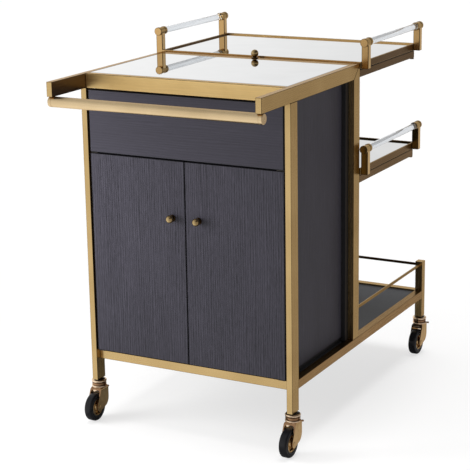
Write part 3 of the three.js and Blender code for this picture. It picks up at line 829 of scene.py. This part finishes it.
def add_mitred_rim(mesh, low, high):
    """Four flat bars on edge, mitred at the corners with a hairline between them."""
    x0, y0, x1, y1 = low.x, low.y, high.x, high.y
    outer = [(x0, y0), (x1, y0), (x1, y1), (x0, y1)]
    inner = [(x0 + RIM, y0 + RIM), (x1 - RIM, y0 + RIM),
             (x1 - RIM, y1 - RIM), (x0 + RIM, y1 - RIM)]
    for i in range(4):
        j = (i + 1) % 4
        gap = (Vector(outer[j]) - Vector(outer[i])).normalized() * MITRE_GAP
        plan = [Vector(outer[i]) + gap, Vector(outer[j]) - gap,
                Vector(inner[j]) - gap, Vector(inner[i]) + gap]
        add_prism(mesh, plan, low.z, high.z, "z")


def add_handle(tray, side, rim_side, rim_low, finish):
    """A clear rod between two turned knuckles, each on a square post beside the rim."""
    node = f"{tray}_tray_frame"
    rod = f"{tray}_tray_rod_{side}"
    rod_low, rod_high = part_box(rod)
    axis = middle(rod)
    rod_radius = (rod_high.z - rod_low.z) / 2
    profile = knuckle_profile(rod_radius + KNUCKLE_WALL, rod_radius + ROD_GAP)
    inner_x = min(abs(axis.x) - POST_HALF, rim_side)
    post_x = sorted((math.copysign(inner_x, axis.x), axis.x + math.copysign(POST_HALF, axis.x)))
    for end, start, way in (("front", rod_low.y, 1), ("rear", rod_high.y, -1)):
        outer = start - way * (KNUCKLE - ROD_SEAT + ROD_GAP)
        knuckle = turned(node, f"{tray}_tray_knuckle_{end}_{side}", finish["brass_knuckle"],
                         profile, Vector((axis.x, outer, axis.z)), "y", reverse=way < 0,
                         bevel=0.7 * MM, segments=2, edge=finish["brass_edge"])
        post_y = sorted((outer + way * POST_INSET, outer + way * (POST_INSET + POST_DEEP)))
        mesh = bmesh.new()
        add_box(mesh, (post_x[0], post_y[0], rim_low),
                (post_x[1], post_y[1], axis.z - POST_SINK))
        # The posts are painted lighter, as painted light.
        post = piece(f"{tray}_tray_post_{end}_{side}", mesh, finish["brass_post_lit"],
                     bevel=1.4 * MM, edge=finish["brass_edge"])
        stand_for(post, node)
        # Their front faces are painted darker, as painted shade.
        for made in (knuckle, post):
            shade_faces(made, finish[f"brass_front_{tray}"], "y", -1)

    half = (rod_high.y - rod_low.y) / 2
    turned(rod, f"{rod}_clear", finish["acrylic"], rod_profile(rod_radius, half), axis, "y",
           bevel=0.6 * MM)


def finish_tray(tray, finish):
    """A mitred rim on a small foot, a thin sheet under the mirror, and two handles; the rim and
    sheet are in a darker brass and the foot near-black, both as painted shade.
    """
    node = f"{tray}_tray_frame"
    glass_low, glass_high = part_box(f"{tray}_tray_mirror")
    edge = RIM + RIM_INSET
    low = glass_low - Vector((edge, edge, 0))
    high = glass_high + Vector((edge, edge, 0))
    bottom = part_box(node)[0].z
    low.z = bottom + FOOT
    high.z = glass_high.z + RIM - RIM_INSET
    mesh = bmesh.new()
    add_mitred_rim(mesh, low, high)
    rim = piece(f"{tray}_tray_rim", mesh, finish[f"brass_tray_{tray}"], bevel=0.8 * MM,
                edge=finish["brass_y"])
    stand_for(rim, node)
    # The rim's front faces are painted darker, as painted shade.
    shade_faces(rim, finish[f"brass_front_{tray}"], "y", -1)

    mesh = bmesh.new()
    inside = Vector((RIM, RIM, 0))
    sheet_low, sheet_high = low + inside, high - inside
    sheet_high.z = glass_low.z - RIM_INSET
    sheet_low.z = sheet_high.z - SHEET
    add_box(mesh, sheet_low, sheet_high)
    stand_for(piece(f"{tray}_tray_sheet", mesh, finish[f"brass_tray_{tray}"], **FINE), node)

    mesh = bmesh.new()
    inset = Vector((FOOT_INSET, FOOT_INSET, 0))
    foot_low, foot_high = low + inset, high - inset
    foot_low.z, foot_high.z = bottom, bottom + 2 * FOOT
    add_mitred_rim(mesh, foot_low, foot_high)
    # The foot is near-black, as painted shade in the seam under the rim.
    stand_for(piece(f"{tray}_tray_foot", mesh, finish["carcass"], **FINE), node)

    for side, _ in SIDES:
        add_handle(tray, side, high.x, low.z, finish)


# ---- Casters ------------------------------------------------------------------------------
def intersect(target, tool):
    """Leaves what the target object shares with the tool, and removes the tool."""
    step = target.modifiers.new("boolean", "BOOLEAN")
    step.operation = "INTERSECT"
    step.object = tool
    step.solver = "EXACT"
    bpy.context.view_layer.update()
    shaped = target.evaluated_get(bpy.context.evaluated_depsgraph_get())
    result = bpy.data.meshes.new_from_object(shaped)
    target.modifiers.remove(step)
    target.data = result
    bpy.data.objects.remove(tool)


def finish_caster(corner, finish):
    """A swivel housing and fork on one body, and a tyre and hub on another."""
    fork = f"caster_{corner}_fork"
    tyre = f"caster_{corner}_tyre"
    hub = f"caster_{corner}_hub"
    axle = middle(tyre)
    pivot = Vector((axle.x, axle.y + CASTER_TRAIL, 0))
    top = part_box(fork)[1].z - STEM_SUNK
    tyre_low, tyre_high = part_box(tyre)
    wheel_radius = (tyre_high.z - tyre_low.z) / 2
    wheel_half = (tyre_high.x - tyre_low.x) / 2
    add_housing(corner, pivot, top, finish)
    add_fork(corner, pivot, axle, top, wheel_half, finish)

    shoulder = (wheel_radius - TYRE_SHOULDER, -wheel_half + TYRE_SHOULDER)
    side = [(HUB_RADIUS, -wheel_half + 1 * MM), (HUB_RADIUS + 1.2 * MM, -wheel_half),
            (HUB_RADIUS + 5 * MM, -wheel_half), (HUB_RADIUS + 6 * MM, -wheel_half + 0.7 * MM),
            *arc(shoulder, TYRE_SHOULDER, -90, 0, 8)]
    turned(tyre, f"{tyre}_moulded", finish["rubber"], both_ways(side), axle, "x", facets=96,
           sharp=50)

    bore = 4.3 * MM
    rim = HUB_RADIUS - 0.3 * MM
    dish = [(bore, wheel_half - 1 * MM), (8 * MM, wheel_half - 1 * MM),
            (9 * MM, wheel_half - 2 * MM), (10.5 * MM, wheel_half - 6 * MM),
            (15.5 * MM, wheel_half - 6.5 * MM), (18 * MM, wheel_half - 2 * MM),
            (19 * MM, wheel_half - 0.8 * MM), (rim - 0.6 * MM, wheel_half - 0.8 * MM),
            (rim, wheel_half - 1.4 * MM)]
    turned(hub, f"{hub}_dished", finish["bronze"], both_ways(dish), axle, "x", facets=96,
           **FINE)


def ring_profile(inner, outer, low, high, rounding):
    """A ring whose outer edges are rounded."""
    return [(inner, low), *arc((outer - rounding, low + rounding), rounding, -90, 0, 6),
            *arc((outer - rounding, high - rounding), rounding, 0, 90, 6), (inner, high)]


def add_housing(corner, pivot, top, finish):
    """The swivel housing: a drum in a darker bronze, painted shade, between two rounded lips in
    a paler one, painted highlights, with dark grooves and cap.
    """
    node = f"caster_{corner}_fork"
    drum, stem = HOUSING_RADIUS, STEM_RADIUS
    lip, groove = drum + 1 * MM, drum - 2.5 * MM
    core_radius = groove + 0.2 * MM
    base = top - HOUSING_HEIGHT
    # Lowest and highest point, radius, rounding and finish of each ring.
    rings = {
        "collar": (base, base + 5.4 * MM, lip, 2.4 * MM, "bronze_highlight"),
        "drum": (base + 6.4 * MM, top - 9.6 * MM, drum, 0.8 * MM, "bronze_shade"),
        "lip": (top - 8.6 * MM, top - 2.4 * MM, lip, 2.8 * MM, "bronze_highlight"),
    }
    for name, (low, high, outer, rounding, slot) in rings.items():
        profile = ring_profile(groove - 1 * MM, outer, low, high, rounding)
        turned(node, f"caster_{corner}_{name}", finish[slot], profile, pivot, "z")

    core = [(0, base + 0.5 * MM), (core_radius, base + 0.5 * MM), (core_radius, top - 3 * MM),
            (13 * MM, top - 1.6 * MM), (8 * MM, top - 0.4 * MM), (stem, top - 0.3 * MM),
            (stem, top + 20 * MM), (0, top + 20 * MM)]
    turned(node, f"caster_{corner}_core", finish["steel"], core, pivot, "z", **FINE)

    screw = [(0, drum - 2 * MM), (1.7 * MM, drum - 2 * MM), (1.7 * MM, drum + 5 * MM),
             (2.4 * MM, drum + 5.4 * MM), (2.4 * MM, drum + 9.4 * MM),
             (1.8 * MM, drum + 10 * MM), (0, drum + 10 * MM)]
    place = pivot + Vector((0, 0, top - SCREW_DROP))
    turned(node, f"caster_{corner}_lock_screw", finish["bronze_shade"], screw, place, "x",
           facets=24, bevel=0.2 * MM, segments=2)


def add_fork(corner, pivot, axle, top, wheel_half, finish):
    """An arch from the front, cut to its outline from the side, with the axle's ends."""
    node = f"caster_{corner}_fork"
    inner = wheel_half + WHEEL_GAP
    half = inner + FORK_THICK
    crown = top - CROWN_DROP
    roof = crown - ROOF_DROP
    bend, inner_bend = 9 * MM, 6 * MM
    out_x, out_z = half - bend, crown - bend
    in_x, in_z = inner - inner_bend, roof - inner_bend
    arch = [(-half, 0), *arc((-out_x, out_z), bend, 180, 90, 8),
            *arc((out_x, out_z), bend, 90, 0, 8), (half, 0),
            (inner, 0), *arc((in_x, in_z), inner_bend, 0, 90, 8),
            *arc((-in_x, in_z), inner_bend, 90, 180, 8), (-inner, 0)]
    front, rear = axle.y - 40 * MM, axle.y + 60 * MM
    mesh = bmesh.new()
    add_prism(mesh, [(axle.x + u, v) for u, v in arch], front, rear, "y")
    fork = piece(f"caster_{corner}_yoke", mesh, finish["bronze"])

    eye, back, sweep = 11 * MM, 16.5 * MM, 24 * MM
    above = crown + 1 * MM
    outline = [(pivot.y - 14 * MM, above), (axle.y - eye, axle.z + 4 * MM),
               *arc((axle.y, axle.z), eye, 165, 300, 14),
               *arc((pivot.y + back - sweep, axle.z + 18 * MM), sweep, -58, 0, 8),
               (pivot.y + back, above)]
    mesh = bmesh.new()
    add_prism(mesh, outline, axle.x - 2 * half, axle.x + 2 * half, "x")
    intersect(fork, piece("side_outline", mesh, finish["bronze"]))
    # The fork's faces that do not look sideways are in the darker bronze, as painted shade.
    fork.data.materials.append(finish["bronze_shade"])
    for face in fork.data.polygons:
        face.material_index = 0 if abs(face.normal.x) > 0.7 else 1
    smooth(fork.data, SHARP)
    round_edges(fork, 0.5 * MM, 2, SHARP)
    stand_for(fork, node)

    # A small web closes the arch over the tyre, whose radius is the axle's height.
    clear = axle.z + TYRE_GAP
    front_angle, rear_angle = 76, 34
    web_front = axle.y + clear * math.cos(math.radians(front_angle))
    web_top, web_half = crown - 2 * MM, inner + 0.5 * MM
    web = [*arc((axle.y, axle.z), clear, front_angle, rear_angle, 10),
           (pivot.y + 11 * MM, axle.z + 26 * MM), (pivot.y + 13 * MM, web_top),
           (web_front, web_top)]
    mesh = bmesh.new()
    add_prism(mesh, web, axle.x - web_half, axle.x + web_half, "x")
    # The web is in the paler bronze, as a painted highlight over the tyre.
    filled = piece(f"caster_{corner}_web", mesh, finish["bronze_highlight"], bevel=0.6 * MM,
                   segments=2)
    stand_for(filled, node)

    shaft, head = 4 * MM, 5.5 * MM
    nut = [(0, inner - 1.5 * MM), (shaft, inner - 1.5 * MM), (shaft, half), (head, half),
           (head, half + 0.6 * MM), (shaft, half + 1.3 * MM), (0, half + 1.5 * MM)]
    for side, way in SIDES:
        turned(node, f"caster_{corner}_axle_end_{side}", finish["bronze"], nut, axle, "x",
               facets=32, reverse=way < 0, bevel=0.2 * MM, segments=2)


# ---- The trolley --------------------------------------------------------------------------
add_camera()
add_sky()
add_floor()
add_wall()
add_shade()
add_light("SUN", "overhead", place=(0.2, 0.25, 6), target=(0, 0, 0), power=1.6,
          angle=math.radians(26))
add_light("AREA", "left_softbox", place=(-0.85, -0.80, 0.62), target=(0, -0.35, 0.58),
          power=6.0, shape="DISK", size=0.6, spread=math.radians(100))

finishes = make_finishes()
finish_tubes(finishes)
finish_push_bar(finishes)
finish_gallery(finishes)
finish_cabinet(finishes)
finish_knobs(finishes)
finish_mirrors(finishes)
for name in TRAYS:
    finish_tray(name, finishes)
for name in CORNERS:
    finish_caster(name, finishes)

bpy.context.scene.view_settings.view_transform = "Standard"
